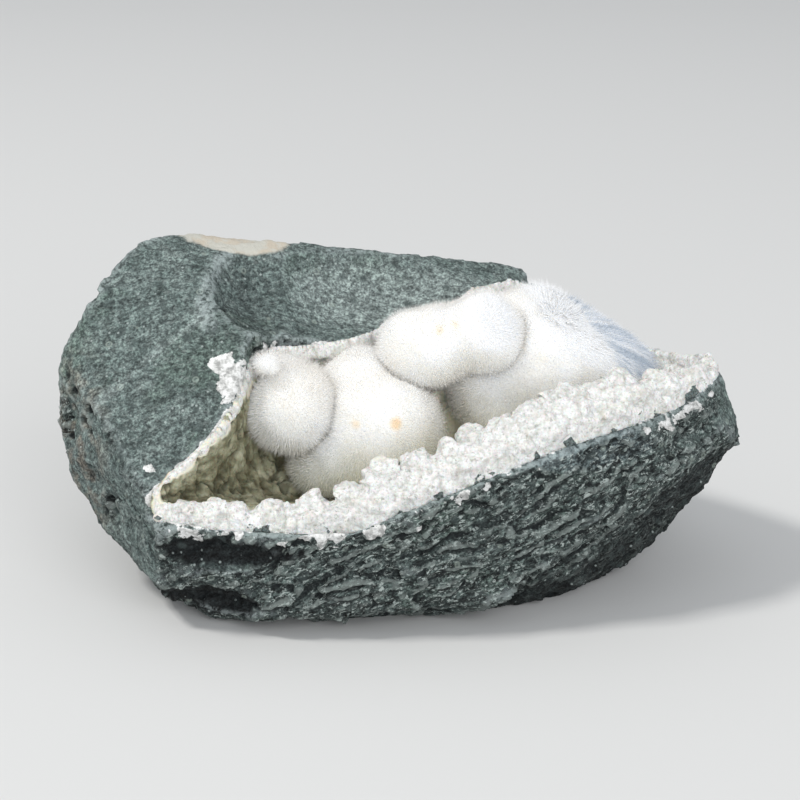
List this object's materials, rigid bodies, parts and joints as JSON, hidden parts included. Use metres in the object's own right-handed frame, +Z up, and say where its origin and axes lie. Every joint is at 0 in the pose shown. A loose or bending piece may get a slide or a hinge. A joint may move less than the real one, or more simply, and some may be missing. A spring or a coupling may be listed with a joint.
{
  "type": "okenite puffball",
  "caption": "Loose basalt stone with a white crust-lined hollow that holds furry round okenite puffballs.",
  "frame": {"origin": "bottom centre of the specimen's box, on the flat underside it rests on", "axes": "+X along the stone's length towards its sharp end, -Y towards the open side of the hollow, +Z up"},
  "size_m": [0.1192, 0.0714, 0.0572],
  "materials": {
    "basalt": "rough, grey-green, mottled",
    "druse": "chalky, sugary",
    "okenite": "soft, fibrous, matt"
  },
  "bodies": {
    "root": {"basalt_stone": "basalt", "hollow_crust": "druse", "puffball_left": "okenite", "puffball_upper": "okenite", "puffball_centre": "okenite", "puffball_right": "okenite", "puffball_tuft": "okenite"}
  },
  "joints": []
}
